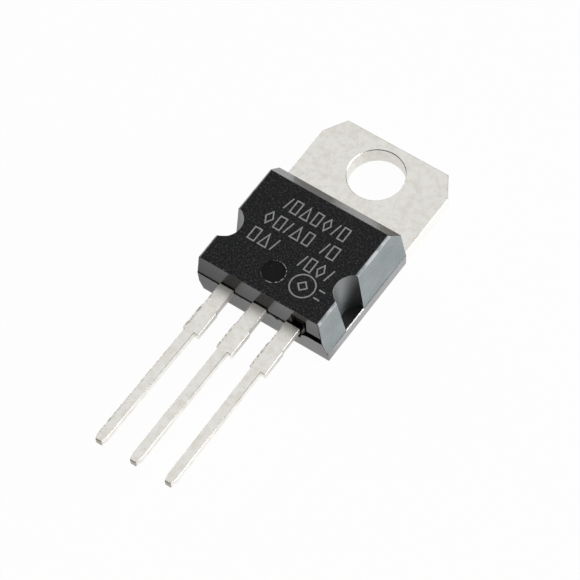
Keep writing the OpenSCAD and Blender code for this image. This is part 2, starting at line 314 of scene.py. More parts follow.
def finished_copy(node, name, radius_of, slots, slot_of=None, cuts=(), reshape=None):
    """A copy of a packed node with rounded edges. The loose triangles are merged and flat
    neighbours are joined. Faces are split along each cut, given as a point and a normal.
    reshape may move points, given as an array in millimetres. Each edge gets the radius
    that radius_of gives for its middle in millimetres, its direction and the angle over
    it. Wide faces set the normals of the points that they share with narrow ones, so
    flat walls stay flat in reflections."""
    work = bmesh.new()
    work.from_mesh(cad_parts[node].data)
    bmesh.ops.remove_doubles(work, verts=work.verts, dist=MERGE_DISTANCE)
    bmesh.ops.dissolve_limit(
        work, angle_limit=FLAT_ANGLE, verts=work.verts, edges=work.edges)
    for place, across in cuts:
        bmesh.ops.bisect_plane(
            work, geom=work.verts[:] + work.edges[:] + work.faces[:],
            plane_co=place, plane_no=across)
    mesh = bpy.data.meshes.new(name)
    work.to_mesh(mesh)
    work.free()
    if reshape is not None:
        points = np.empty(len(mesh.vertices) * 3)
        mesh.vertices.foreach_get("co", points)
        moved = reshape(points.reshape(-1, 3) / MM) * MM
        mesh.vertices.foreach_set("co", moved.ravel())
        mesh.update()
    if "custom_normal" in mesh.attributes:
        mesh.attributes.remove(mesh.attributes["custom_normal"])
    middle, direction, angle, outer = edge_table(mesh)
    radius = np.where(outer & (angle > SHARP_ANGLE), radius_of(middle, direction, angle), 0.0)
    widest = max(radius.max(), 1e-9)
    weights = mesh.attributes.new("bevel_weight_edge", "FLOAT", "EDGE")
    weights.data.foreach_set("value", (radius / widest).astype(np.float32))
    for material in slots:
        mesh.materials.append(material)
    if slot_of is not None:
        normals = np.empty(len(mesh.polygons) * 3)
        mesh.polygons.foreach_get("normal", normals)
        centres = np.empty(len(mesh.polygons) * 3)
        mesh.polygons.foreach_get("center", centres)
        index = slot_of(centres.reshape(-1, 3) / MM, normals.reshape(-1, 3))
        mesh.polygons.foreach_set("material_index", index.astype(np.int32))
    mesh.shade_smooth()
    mesh.set_sharp_from_angle(angle=SMOOTH_ANGLE)
    piece = bpy.data.objects.new(name, mesh)
    bpy.context.scene.collection.objects.link(piece)
    rounding = piece.modifiers.new("Rounded edges", "BEVEL")
    rounding.limit_method = "WEIGHT"
    rounding.width = widest
    rounding.segments = ROUNDING_STEPS
    rounding.use_clamp_overlap = False
    weighting = piece.modifiers.new("Wide faces lead", "WEIGHTED_NORMAL")
    weighting.mode = "FACE_AREA"
    weighting.weight = 50
    weighting.keep_sharp = True
    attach(piece, BODY)
    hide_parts(node)
    return piece


def mesh_piece(name, points, faces, material):
    """A new piece from an array of points in millimetres and a list of faces."""
    mesh = bpy.data.meshes.new(name)
    mesh.from_pydata((np.asarray(points) * MM).tolist(), [], faces)
    mesh.validate()
    mesh.materials.append(material)
    piece = bpy.data.objects.new(name, mesh)
    bpy.context.scene.collection.objects.link(piece)
    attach(piece, BODY)
    return piece


def ribbon(path, width, low, high, closed):
    """A flat stroke of even width along a path, as points and faces: the path is moved
    half the width to each side along the mean of its neighbouring normals, at two
    heights, which gives four rails joined by faces all round."""
    path = np.asarray(path, float)
    step = np.roll(path, -1, axis=0) - path
    step /= np.maximum(np.linalg.norm(step, axis=1, keepdims=True), 1e-9)
    if not closed:
        step[-1] = step[-2]
    before = np.roll(step, 1, axis=0)
    if not closed:
        before[0] = step[0]
    side_now = np.stack([-step[:, 1], step[:, 0]], axis=1)
    side_before = np.stack([-before[:, 1], before[:, 0]], axis=1)
    mean = side_now + side_before
    mean /= np.maximum(np.linalg.norm(mean, axis=1, keepdims=True), 1e-9)
    mean /= np.maximum((mean * side_now).sum(axis=1, keepdims=True), 0.35)
    left = path + mean * width / 2
    right = path - mean * width / 2
    count = len(path)
    rails = [np.column_stack([side, np.full(count, height)])
             for side, height in ((left, high), (right, high), (right, low), (left, low))]
    points = np.concatenate(rails)
    last = count if closed else count - 1
    here = np.arange(last)
    there = (here + 1) % count
    faces = []
    for rail in range(4):
        following = (rail + 1) % 4
        faces.append(np.stack([here + rail * count, here + following * count,
                               there + following * count, there + rail * count], axis=1))
    faces = np.concatenate(faces).tolist()
    if not closed:
        faces.append([0, 3 * count, 2 * count, count])
        faces.append([count - 1, 2 * count - 1, 3 * count - 1, 4 * count - 1])
    return points, faces


def joined(parts):
    """Several (points, faces) pairs as one pair."""
    points, faces, start = [], [], 0
    for part_points, part_faces in parts:
        points.append(part_points)
        faces += [[corner + start for corner in face] for face in part_faces]
        start += len(part_points)
    return np.concatenate(points), faces


# Node groups and materials


class Wiring:
    """Places nodes in a tree and links them by socket name."""

    def __init__(self, tree):
        self.tree = tree
        self.tree.nodes.clear()

    def node(self, kind, **settings):
        made = self.tree.nodes.new(kind)
        for key, value in settings.items():
            setattr(made, key, value)
        return made

    def link(self, source, target):
        self.tree.links.new(source, target)

    def feed(self, target, value):
        """Links a socket, or sets a constant."""
        if isinstance(value, bpy.types.NodeSocket):
            self.link(value, target)
        else:
            target.default_value = value

    def maths(self, operation, first, second=0.0, third=0.0, clamp=False):
        made = self.node("ShaderNodeMath", operation=operation, use_clamp=clamp)
        for socket, value in zip(made.inputs, (first, second, third)):
            self.feed(socket, value)
        return made.outputs[0]

    def product(self, first, *others):
        for value in others:
            first = self.maths("MULTIPLY", first, value)
        return first

    def reach(self, first, second, middle=(0.0, 0.0)):
        """Distance from a middle, as the root of the sum of two squares."""
        across = self.maths("SUBTRACT", first, middle[0])
        along = self.maths("SUBTRACT", second, middle[1])
        return self.maths("SQRT", self.maths(
            "ADD", self.product(across, across), self.product(along, along)))

    def ramp(self, value, low, high, out_low=0.0, out_high=1.0):
        """A smooth step of a value from one end of a band to the other."""
        made = self.node("ShaderNodeMapRange", interpolation_type="SMOOTHSTEP", clamp=True)
        self.feed(made.inputs["Value"], value)
        self.feed(made.inputs["From Min"], low)
        self.feed(made.inputs["From Max"], high)
        self.feed(made.inputs["To Min"], out_low)
        self.feed(made.inputs["To Max"], out_high)
        return made.outputs["Result"]

    def mix_colour(self, factor, first, second, blend="MIX"):
        made = self.node("ShaderNodeMix", data_type="RGBA", blend_type=blend)
        colours = [s for s in made.inputs if s.type == "RGBA"]
        self.feed(made.inputs[0], factor)
        self.feed(colours[0], first)
        self.feed(colours[1], second)
        return [s for s in made.outputs if s.type == "RGBA"][0]

    def noise(self, place, size, detail=3.0, roughness=0.55):
        """Noise whose features are about size metres across."""
        made = self.node("ShaderNodeTexNoise")
        self.feed(made.inputs["Vector"], place)
        made.inputs["Scale"].default_value = 1.0 / size
        made.inputs["Detail"].default_value = detail
        made.inputs["Roughness"].default_value = roughness
        return made.outputs["Fac"]

    def place(self):
        return self.node("ShaderNodeTexCoord").outputs["Object"]

    def axes(self, place):
        made = self.node("ShaderNodeSeparateXYZ")
        self.feed(made.inputs[0], place)
        return made.outputs["X"], made.outputs["Y"], made.outputs["Z"]

    def bump(self, height, strength, distance):
        made = self.node("ShaderNodeBump")
        made.inputs["Strength"].default_value = strength
        made.inputs["Distance"].default_value = distance
        self.feed(made.inputs["Height"], height)
        return made.outputs["Normal"]


def rgba(colour, share=1.0):
    """A colour times a share, at most white, with an alpha of one."""
    return tuple(min(1.0, value * share) for value in colour) + (1.0,)


def node_group(name, inputs, outputs):
    """A new shader node group with named sockets. Returns its wiring and end nodes."""
    tree = bpy.data.node_groups.new(name, "ShaderNodeTree")
    wiring = Wiring(tree)
    for label, kind, value in inputs:
        socket = tree.interface.new_socket(label, in_out="INPUT", socket_type=kind)
        socket.default_value = value
    for label, kind in outputs:
        tree.interface.new_socket(label, in_out="OUTPUT", socket_type=kind)
    return wiring, wiring.node("NodeGroupInput"), wiring.node("NodeGroupOutput")


def build_grain_group():
    """Grain: pale grains in a dark ground, as a fine noise cut within the softness on
    each side of the share."""
    wiring, start, end = node_group(
        "Grain",
        [("Size", "NodeSocketFloat", 0.1 * MM), ("Share", "NodeSocketFloat", 0.5),
         ("Softness", "NodeSocketFloat", 0.2)],
        [("Mask", "NodeSocketFloat"), ("Height", "NodeSocketFloat")])
    place = wiring.place()
    scale = wiring.maths("DIVIDE", 1.0, start.outputs["Size"])
    fine = wiring.node("ShaderNodeTexNoise")
    wiring.link(place, fine.inputs["Vector"])
    wiring.link(scale, fine.inputs["Scale"])
    fine.inputs["Detail"].default_value = 4.0
    fine.inputs["Roughness"].default_value = 0.7
    value = fine.outputs["Fac"]
    low = wiring.maths("SUBTRACT", start.outputs["Share"], start.outputs["Softness"])
    high = wiring.maths("ADD", start.outputs["Share"], start.outputs["Softness"])
    above = wiring.maths("SUBTRACT", value, low)
    span = wiring.maths("SUBTRACT", high, low)
    mask = wiring.maths("DIVIDE", above, span, clamp=True)
    wiring.link(mask, end.inputs["Mask"])
    wiring.link(value, end.inputs["Height"])


def build_chips_group():
    """Chips: small chips, as a fine noise cut between two values."""
    wiring, start, end = node_group(
        "Chips",
        [("Low", "NodeSocketFloat", 0.5), ("High", "NodeSocketFloat", 0.6)],
        [("Mask", "NodeSocketFloat")])
    fine = wiring.noise(wiring.place(), 0.11 * MM, detail=3.0, roughness=0.6)
    wiring.link(wiring.ramp(fine, start.outputs["Low"], start.outputs["High"]),
                end.inputs["Mask"])


GROUP_BUILDERS = {"Grain": build_grain_group, "Chips": build_chips_group}


def use_group(wiring, name, **values):
    """Places a node group, which is built at its first use."""
    if name not in bpy.data.node_groups:
        GROUP_BUILDERS[name]()
    made = wiring.node("ShaderNodeGroup", node_tree=bpy.data.node_groups[name])
    for key, value in values.items():
        wiring.feed(made.inputs[key], value)
    return made


def new_material(name):
    material = bpy.data.materials.new(name)
    material.use_nodes = True
    wiring = Wiring(material.node_tree)
    shader = wiring.node("ShaderNodeBsdfPrincipled")
    output = wiring.node("ShaderNodeOutputMaterial")
    wiring.link(shader.outputs["BSDF"], output.inputs["Surface"])
    return material, wiring, shader


# A band is written as the value where a mask begins and the value where it is full.

# pale chips round the ejector mark's rim and along the edge over the leads, partly painted glints
RIM_CHIPS_AND_GLINTS = (0.045 * MM, 0.015 * MM)
LEAD_EDGE_CHIPS_AND_GLINTS = (-12.60 * MM, -12.66 * MM)


def material_moulding_top(finish):
    """Eroded epoxy: dark ground with bluish grains, dull, with a fine bump. Pale chips
    follow the edge over the leads and the rim of the ejector mark; they are partly
    painted glints on these edges."""
    material, wiring, shader = new_material("moulding_top")
    x, y, z = wiring.axes(wiring.place())
    grain = use_group(wiring, "Grain", Size=finish.grain_size, Share=0.61, Softness=0.10)
    colour = wiring.mix_colour(
        grain.outputs["Mask"], rgba(finish.top_dark), rgba(finish.top_light))
    off_rim = wiring.maths(
        "ABSOLUTE", wiring.maths("SUBTRACT", wiring.reach(x, y, EJECTOR), EJECTOR_RIM))
    many = use_group(wiring, "Chips", Low=0.46, High=0.56).outputs["Mask"]
    few = use_group(wiring, "Chips", Low=0.56, High=0.66).outputs["Mask"]
    # pale specks round the ejector rim and along the edge over the leads: chips, and painted
    # glints
    rim = wiring.product(wiring.ramp(off_rim, *RIM_CHIPS_AND_GLINTS), many)
    edge = wiring.product(wiring.ramp(y, *LEAD_EDGE_CHIPS_AND_GLINTS), few)
    wear_and_highlight = wiring.product(wiring.maths("MAXIMUM", rim, edge), 0.8)
    wiring.link(wiring.mix_colour(wear_and_highlight, colour, rgba(finish.wear_and_highlight)), shader.inputs["Base Color"])
    shader.inputs["Roughness"].default_value = 0.62
    shader.inputs["Specular IOR Level"].default_value = 0.12
    wiring.link(wiring.bump(grain.outputs["Height"], 0.35, 0.02 * MM), shader.inputs["Normal"])
    return material


# the pale band under the long edges, a painted highlight, and the strip under the side parting
# line
EDGE_HIGHLIGHT_BAND = (4.20 * MM, 4.36 * MM)
STRIP = (SIDE_PARTING - 0.02 * MM, SIDE_PARTING - 0.05 * MM)


def material_moulding_side(name, colour, coat_ior, coat_roughness, polish=None, highlight_and_strip_finish=None):
    """Smooth epoxy off a polished mould: a dark body under a clear skin of resin, with
    faint clouds and a fine ripple. polish takes the wiring and the place's three axes
    and returns the weight of the skin. The last argument is the finish that colours the
    long edges' pale band, a painted highlight, and the strip under the parting line."""
    material, wiring, shader = new_material(name)
    place = wiring.place()
    clouds = wiring.noise(place, 0.9 * MM, detail=3.0)
    ground = wiring.mix_colour(clouds, rgba(colour), rgba(colour, 2.2))
    if highlight_and_strip_finish is not None:
        x, y, z = wiring.axes(place)
        # painted highlight: a pale band under the rounded long edges, where they would catch the
        # light
        edge_highlight = wiring.product(wiring.ramp(z, *EDGE_HIGHLIGHT_BAND), wiring.ramp(clouds, 0.35, 0.6, 0.20, 0.55))
        ground = wiring.mix_colour(edge_highlight, ground, rgba(highlight_and_strip_finish.wear_and_highlight, 1.5))
        ground = wiring.mix_colour(wiring.ramp(z, *STRIP), ground, rgba(highlight_and_strip_finish.strip))
    wiring.link(ground, shader.inputs["Base Color"])
    fine = wiring.noise(place, 0.15 * MM, detail=3.0)
    wiring.link(wiring.ramp(fine, 0.3, 0.7, 0.40, 0.5), shader.inputs["Roughness"])
    shader.inputs["Specular IOR Level"].default_value = 0.1
    if polish is None:
        shader.inputs["Coat Weight"].default_value = 1.0
    else:
        wiring.link(polish(wiring, *wiring.axes(place)), shader.inputs["Coat Weight"])
    shader.inputs["Coat IOR"].default_value = coat_ior
    shader.inputs["Coat Roughness"].default_value = coat_roughness
    wiring.link(wiring.bump(fine, 0.10, 0.01 * MM), shader.inputs["Normal"])
    return material


# height over which the rounded long edges lose their skin
LONG_EDGE = (4.41 * MM, 4.35 * MM)


def flank_polish(wiring, x, y, z):
    """The rounded long edges are duller than the flanks, which have soft clouds."""
    edge = wiring.ramp(z, *LONG_EDGE, 0.10, 1.0)
    cloud = wiring.noise(wiring.place(), 1.7 * MM, detail=4.0, roughness=0.6)
    return wiring.product(edge, wiring.ramp(cloud, 0.35, 0.65, 0.84, 1.0))


# the wall at the leads: its width, and the left, right, upper and lower ends of the part
# beside the gate that has no skin
WALL_WIDTH = (-5.0 * MM, 4.5 * MM)
BARE_LEFT = (3.22 * MM, 3.26 * MM)
BARE_RIGHT = (3.62 * MM, 3.58 * MM)
BARE_UPPER = (3.5 * MM, 3.4 * MM)
BARE_LOWER = (2.25 * MM, 2.35 * MM)
# how far chips spread off the parting line, and the size of the bubble
SEAM_CHIPS = (0.24 * MM, 0.12 * MM)
BUBBLE_SIZE = (0.20 * MM, 0.14 * MM)


def wall_polish(wiring, x, y, z):
    """The wall at the leads is duller towards the input side, and has no skin between the
    output lead and the broken gate, in the chips along the parting line and in a bubble."""
    across = wiring.ramp(x, *WALL_WIDTH, 0.55, 1.0)
    beside = wiring.product(
        wiring.product(wiring.ramp(x, *BARE_LEFT), wiring.ramp(x, *BARE_RIGHT)),
        wiring.product(wiring.ramp(z, *BARE_UPPER), wiring.ramp(z, *BARE_LOWER)))
    off_seam = wiring.maths("ABSOLUTE", wiring.maths("SUBTRACT", z, FRONT_PARTING))
    ragged = wiring.noise(wiring.place(), 0.16 * MM, detail=4.0, roughness=0.7)
    seam = wiring.product(wiring.ramp(off_seam, *SEAM_CHIPS), wiring.ramp(ragged, 0.50, 0.60))
    bubble = wiring.ramp(wiring.reach(x, z, BUBBLE), *BUBBLE_SIZE)
    dull = wiring.maths("MAXIMUM", beside, wiring.maths("MAXIMUM", seam, bubble))
    return wiring.product(across, wiring.maths("SUBTRACT", 1.0, dull))


# the side notches: the flank's own plane, the height and ends of the pale edge round a
# notch's foot, the half of a notch nearer the leads, the foot and the wall over the
# floor, the brow under the top, the slanted end of the polish, and the side of the body;
# the pale edge, foot and brow lines are painted highlights
NOTCH_OUTSIDE = (4.945 * MM, 4.965 * MM)
NOTCH_HIGHLIGHT = (1.20 * MM, 1.14 * MM)
NOTCH_HIGHLIGHT_ENDS = (1.02 * MM, 0.94 * MM)
NOTCH_LEAD_HALF = (NOTCH_MIDDLE - 0.2 * MM, NOTCH_MIDDLE - 0.5 * MM)
NOTCH_FOOT = (1.15 * MM, 1.12 * MM)
NOTCH_OVER_FLOOR = (1.101 * MM, 1.104 * MM)
NOTCH_BROW = (4.43 * MM, 4.46 * MM)
NOTCH_POLISH = (NOTCH_MIDDLE - 0.45 * MM, NOTCH_MIDDLE + 0.65 * MM)
NOTCH_STEEP = (1.105 * MM, 1.13 * MM)
LEFT_SIDE = (0.1 * MM, -0.1 * MM)


def material_notch(finish):
    """Side notches: polished on the lead side, dull towards the tab. Pale, metal-like lines
    where the floor meets the side, at the inner foot and under the top are painted
    highlights, and the polished part's lighter colour is a painted reflection."""
    material, wiring, shader = new_material("moulding_notch")
    place = wiring.place()
    x, y, z = wiring.axes(place)
    out = wiring.ramp(wiring.maths("ABSOLUTE", x), *NOTCH_OUTSIDE)
    away = wiring.maths("ABSOLUTE", wiring.maths("SUBTRACT", y, NOTCH_MIDDLE))
    # painted highlight: a pale band along the notch's outer foot edge
    low = wiring.product(wiring.ramp(z, *NOTCH_HIGHLIGHT),
                         wiring.ramp(away, *NOTCH_HIGHLIGHT_ENDS, 0.22, 1.0))
    outer_edge = wiring.product(out, low)
    inner = wiring.ramp(y, *NOTCH_LEAD_HALF)
    # painted highlights: pale lines along the inner foot and under the top
    foot = wiring.product(
        inner, wiring.ramp(z, *NOTCH_FOOT), wiring.ramp(z, *NOTCH_OVER_FLOOR), 0.6)
    brow = wiring.product(wiring.ramp(z, *NOTCH_BROW), inner)
    wear_and_highlight = wiring.maths("MAXIMUM", outer_edge, wiring.maths("MAXIMUM", foot, brow))
    # the polish ends on a slant, nearer the lead side towards the floor
    grain = wiring.noise(place, 0.10 * MM, detail=4.0, roughness=0.8)
    slant = wiring.maths("SUBTRACT", y, wiring.product(z, 0.3))
    slant = wiring.maths("ADD", slant, wiring.product(grain, 0.9 * MM))
    polish = wiring.product(wiring.ramp(slant, *NOTCH_POLISH, 1.0, 0.05),
                            wiring.ramp(grain, 0.35, 0.6, 0.75, 1.0))
    polish = wiring.maths("MAXIMUM", polish, wiring.ramp(x, *LEFT_SIDE, 0.0, 0.8))
    polish = wiring.product(polish, wiring.ramp(z, *NOTCH_STEEP, 0.12, 1.0))
    # painted reflection: the polished part gets a lighter colour as well as its skin, so the
    # notch wall is bright where it would mirror the room
    ground = wiring.mix_colour(polish, rgba(finish.wall, 2.2), rgba(finish.notch))
    # the pale, metal-like lines are painted highlights
    wiring.link(wiring.mix_colour(wear_and_highlight, ground, rgba(finish.wear_and_highlight, 1.7)),
                shader.inputs["Base Color"])
    shader.inputs["Roughness"].default_value = 0.5
    shader.inputs["Specular IOR Level"].default_value = 0.1
    wiring.link(wiring.maths("MAXIMUM", wiring.product(polish, 0.8), wear_and_highlight),
                shader.inputs["Coat Weight"])
    wiring.link(wear_and_highlight, shader.inputs["Metallic"])
    # the pale edge's shading normal leans outwards, as if it were rounded, so the painted
    # highlight catches the light from the side
    tilt = wiring.node("ShaderNodeCombineXYZ")
    wiring.link(wiring.product(wiring.maths("SIGN", x), wiring.product(outer_edge, 0.7)),
                tilt.inputs["X"])
    leaning = wiring.node("ShaderNodeVectorMath", operation="ADD")
    wiring.link(wiring.node("ShaderNodeNewGeometry").outputs["Normal"], leaning.inputs[0])
    wiring.link(tilt.outputs["Vector"], leaning.inputs[1])
    unit = wiring.node("ShaderNodeVectorMath", operation="NORMALIZE")
    wiring.link(leaning.outputs["Vector"], unit.inputs[0])
    wiring.link(unit.outputs["Vector"], shader.inputs["Normal"])
    shader.inputs["Coat IOR"].default_value = 3.0
    shader.inputs["Coat Roughness"].default_value = 0.40
    return material


# the smooth resin over the output lead, which ends at the broken gate; its lighter colour is a
# painted reflection of the lead
OVER_LEAD = (3.28 * MM, 3.22 * MM)


def material_broken(finish):
    """Broken resin in the gate pocket: black and dull, but smooth over the lead, where a lighter,
    warm colour is a painted reflection of the lead.
    """
    material, wiring, shader = new_material("moulding_broken")
    place = wiring.place()
    x, y, z = wiring.axes(place)
    rough = wiring.noise(place, 0.12 * MM, detail=4.0)
    over = wiring.ramp(x, *OVER_LEAD)
    ground = wiring.mix_colour(rough, rgba(finish.wall, 0.3), rgba(finish.wall))
    # painted reflection: the part over the lead is lighter and warm, like the lead mirrored in
    # the wall
    wiring.link(wiring.mix_colour(over, ground, rgba(finish.painted_lead_reflection)),
                shader.inputs["Base Color"])
    wiring.link(over, shader.inputs["Coat Weight"])
    shader.inputs["Coat IOR"].default_value = 1.6
    shader.inputs["Coat Roughness"].default_value = 0.3
    shader.inputs["Roughness"].default_value = 0.9
    shader.inputs["Specular IOR Level"].default_value = 0.03
    wiring.link(wiring.bump(rough, 0.6, 0.05 * MM), shader.inputs["Normal"])
    return material


def material_ejector(finish):
    """Floor of the ejector mark: darker and smoother than the top round it, with a few
    pale specks."""
    material, wiring, shader = new_material("moulding_mark")
    specks = use_group(wiring, "Chips", Low=0.70, High=0.76).outputs["Mask"]
    wiring.link(wiring.mix_colour(specks, rgba(finish.top_dark), rgba(finish.wear_and_highlight)),
                shader.inputs["Base Color"])
    shader.inputs["Roughness"].default_value = 0.35
    shader.inputs["Specular IOR Level"].default_value = 0.06
    return material


# the leads: nicks and painted shade along their left edges, from a little off the wall, and their
# cut tips
NICK_AND_SHADE_EDGE = (-0.30 * MM, -0.40 * MM)
NICK_AND_SHADE_START = (LEAD_SIDE - 0.2 * MM, LEAD_SIDE - 0.5 * MM)
CUT_TIP = (LEAD_TIP + 0.12 * MM, LEAD_TIP + 0.02 * MM)
# both ends of the resin film in the gate's recess, and of the painted reflection of the body at
# the wall
FILM_START = (-12.90 * MM, -12.85 * MM)
FILM_END = (-12.1 * MM, -12.3 * MM)
TINT_START = (LEAD_SIDE - 0.75 * MM, LEAD_SIDE - 0.02 * MM)
TINT_END = (LEAD_SIDE + 1.0 * MM, LEAD_SIDE + 0.5 * MM)
# the wall of the bore, from its near to its far side, where it gets painted shade, and the
# tab's long sides, which are painted lighter
BORE_WALL = (1.97 * MM, 1.94 * MM)
BORE_DEPTH = (-0.6 * MM, 1.4 * MM)
TAB_SIDE = (4.91 * MM, 4.94 * MM)


def material_tin(finish):
    """Matt tin plate: warm grey with soft mottling and small pits. A warm band next to the
    body, a painted reflection of the body, fades over half a millimetre from the lead side
    of the body."""
    material, wiring, shader = new_material("tin")
    place = wiring.place()
    x, y, z = wiring.axes(place)
    mottle = wiring.noise(place, 0.55 * MM, detail=6.0, roughness=0.72)
    fine = wiring.noise(place, 0.09 * MM, detail=3.0, roughness=0.6)
    coarse = wiring.noise(place, 0.30 * MM, detail=4.0, roughness=0.75)
    torn = wiring.noise(place, 0.22 * MM, detail=4.0, roughness=0.7)
    # nicks and painted shade follow the left edge of each lead, so x is taken from the nearest
    # lead's middle
    nearest = wiring.maths("ROUND", wiring.maths("DIVIDE", x, PITCH))
    beside = wiring.maths("SUBTRACT", x, wiring.product(nearest, PITCH))
    nicks_and_edge_shade = wiring.product(wiring.ramp(beside, *NICK_AND_SHADE_EDGE), wiring.ramp(y, *NICK_AND_SHADE_START),
                           wiring.ramp(torn, 0.46, 0.58), 0.8)
    # painted reflection: a warm band on the tin next to the body
    tinted = wiring.product(
        wiring.product(wiring.ramp(y, *TINT_START), wiring.ramp(y, *TINT_END)),
        wiring.ramp(mottle, 0.2, 0.75, 0.5, 1.0))
    film = wiring.product(wiring.ramp(y, *FILM_START), wiring.ramp(y, *FILM_END))
    # painted shade: the bore's wall darkens towards its far side
    bore = wiring.product(wiring.ramp(wiring.reach(x, y), *BORE_WALL),
                          wiring.ramp(y, *BORE_DEPTH, 0.0, 0.30))
    # each layer lies over the ones before it
    layers = (
        (wiring.product(wiring.ramp(fine, 0.36, 0.27), 0.5), finish.pit_and_shade),
        (wiring.product(wiring.ramp(coarse, 0.37, 0.30), 0.35), finish.pit_and_shade),
        (nicks_and_edge_shade, finish.pit_and_shade),
        (wiring.product(wiring.ramp(y, *CUT_TIP), 0.85), finish.pit_and_shade),
        (tinted, finish.tint),
        (film, finish.film),
        (bore, finish.pit_and_shade),
        # painted light: the tab's long sides are lighter
        (wiring.ramp(wiring.maths("ABSOLUTE", x), *TAB_SIDE), finish.painted_lit_side),
    )
    colour = wiring.mix_colour(
        wiring.ramp(mottle, 0.32, 0.62), rgba(finish.plate_dark), rgba(finish.plate))
    for share, over in layers:
        colour = wiring.mix_colour(share, colour, rgba(over))
    wiring.link(colour, shader.inputs["Base Color"])
    shader.inputs["Metallic"].default_value = 1.0
    wiring.link(wiring.ramp(mottle, 0.3, 0.7, 0.34, 0.42), shader.inputs["Roughness"])
    wiring.link(wiring.bump(fine, 0.20, 0.01 * MM), shader.inputs["Normal"])
    return material


def material_mark(sizes):
    """Marked strokes: grey with dark grains showing through."""
    material, wiring, shader = new_material("marking")
    grain = use_group(wiring, "Grain", Size=0.07 * MM, Share=0.47, Softness=0.2)
    wiring.link(wiring.mix_colour(
        grain.outputs["Mask"], rgba(sizes.colour, 0.45), rgba(sizes.colour)),
        shader.inputs["Base Color"])
    shader.inputs["Roughness"].default_value = 0.7
    shader.inputs["Specular IOR Level"].default_value = 0.3
    return material


def material_plain(name, colour, metallic, roughness):
    """One finish with a fine noise in its roughness."""
    material, wiring, shader = new_material(name)
    shader.inputs["Base Color"].default_value = rgba(colour)
    shader.inputs["Metallic"].default_value = metallic
    fine = wiring.noise(wiring.place(), 0.1 * MM)
    wiring.link(wiring.ramp(fine, 0.3, 0.7, roughness - 0.05, roughness + 0.05),
                shader.inputs["Roughness"])
    return material


# Operators


# the body's material slots, in order
TOP, FLANK, EJECTOR_FLOOR, WALL, NOTCH, BROKEN, BEVEL = range(7)


class REGULATOR_OT_moulding(bpy.types.Operator):
    """Dresses the moulded body: rounded edges, eroded top, smooth sides"""

    bl_idname = "regulator.moulding"
    bl_label = "Moulded body"

    def execute(self, context):
        finish = context.scene.regulator_moulding

        def radius_of(middle, direction, angle):
            """The outline is rounded, except in the notches and round the leads."""
            x, y, z = np.abs(middle[:, 0]), middle[:, 1], middle[:, 2]
            side, front = x > FLANK_EDGE, y < FRONT_FACE
            radius = np.zeros(len(x))
            outline = (z > TOP_FACE) | (z < BASE_FACE) | side | front | (y > BEVEL_EDGE)
            radius[outline] = finish.edge_radius
            upright = (np.abs(direction[:, 2]) > UPRIGHT) & side
            radius[upright & (y < LEAD_CORNER)] = finish.corner_radius
            # the narrow steps of the parting line stay almost sharp
            side_step = (np.abs(z - SIDE_PARTING / MM) < NEAR_STEP) & (x > STEP_SIDE)
            front_step = (np.abs(z - FRONT_PARTING / MM) < NEAR_STEP) & front
            radius[side_step | front_step] = STEP_RADIUS
            # a notch's mouth stays sharp, and so do its corners with the long edge
            notch = np.abs(y - NOTCH_MIDDLE / MM) < NOTCH_EDGES
            radius[notch & (z > NOTCH_FLOOR) & (x > NOTCH_MOUTH)] = 0.0
            radius[notch & (x > NOTCH_CORNER[0]) & (z > NOTCH_CORNER[1])] = 0.0
            # no rounding inside the openings that the leads fill
            lead = np.min([np.abs(middle[:, 0] - place / MM) for place in LEAD_PLACES], axis=0)
            level = np.abs(z - LEAD_HEIGHT) < LEAD_REACH
            tunnel = (lead < LEAD_OPENING) & level & front
            inside = (y > INSIDE_FRONT) & (z < FLANK_EDGE) & (x < INSIDE_FLANK)
            radius[tunnel | inside] = 0.0
            return radius

        def slot_of(centre, normal):
            """Each face gets its slot from its place and from the way that it faces."""
            x, y, z = centre.T
            slant, forth, up = normal.T
            index = np.full(len(centre), WALL, np.int64)
            outside = np.abs(x) > FLANK_FACE
            index[outside & (np.abs(slant) > LEANING) & (np.abs(forth) < ALMOST_ALONG)] = FLANK
            index[y > BEVEL_FACE] = BEVEL
            notch = outside & (np.abs(y - NOTCH_MIDDLE / MM) < NOTCH_FACES)
            index[notch & (np.abs(slant) < ALONG)] = NOTCH
            index[(z > TOP_FACE) & (up > ALMOST_ALONG)] = TOP
            ejector = np.hypot(x, y - EJECTOR[1] / MM) < EJECTOR_REACH
            index[(z > EJECTOR_BASE) & ejector] = EJECTOR_FLOOR
            pocket = (x > POCKET_LEFT) & (x < POCKET_RIGHT)
            pocket &= (y > POCKET_FRONT) & (y < POCKET_BACK)
            pocket &= np.abs(z - POCKET_HEIGHT) < POCKET_REACH
            index[pocket & ((forth > -ALMOST_ALONG) | (y > FRONT_FACE))] = BROKEN
            return index

        def close_in(points):
            """At the wall the plastic closes in on the sides of the middle lead."""
            x, y, z = points.T
            rim = (y < AT_WALL) & (np.abs(x) > LEAD_HALF) & (np.abs(x) < LEAD_OUTER)
            rim &= np.abs(z - LEAD_HEIGHT) < LEAD_REACH
            points[rim, 0] = np.where(x[rim] < 0, MIDDLE_LEAD_LEFT / MM, MIDDLE_LEAD_RIGHT / MM)
            return points

        slots = [None] * 7
        slots[TOP] = material_moulding_top(finish)
        slots[FLANK] = material_moulding_side(
            "moulding_flank", finish.side, 2.9, 0.24, flank_polish, finish)
        slots[EJECTOR_FLOOR] = material_ejector(finish)
        slots[WALL] = material_moulding_side(
            "moulding_wall", finish.wall, 2.0, 0.12, wall_polish)
        slots[NOTCH] = material_notch(finish)
        slots[BROKEN] = material_broken(finish)
        slots[BEVEL] = material_moulding_side("moulding_bevel", finish.wall, 1.43, 0.2)
        cuts = [((0, WALL_DEPTH, 0), (0, 1, 0))]
        piece = finished_copy(
            "body", "moulded_body", radius_of, slots, slot_of, cuts, close_in)
        return {"FINISHED"}


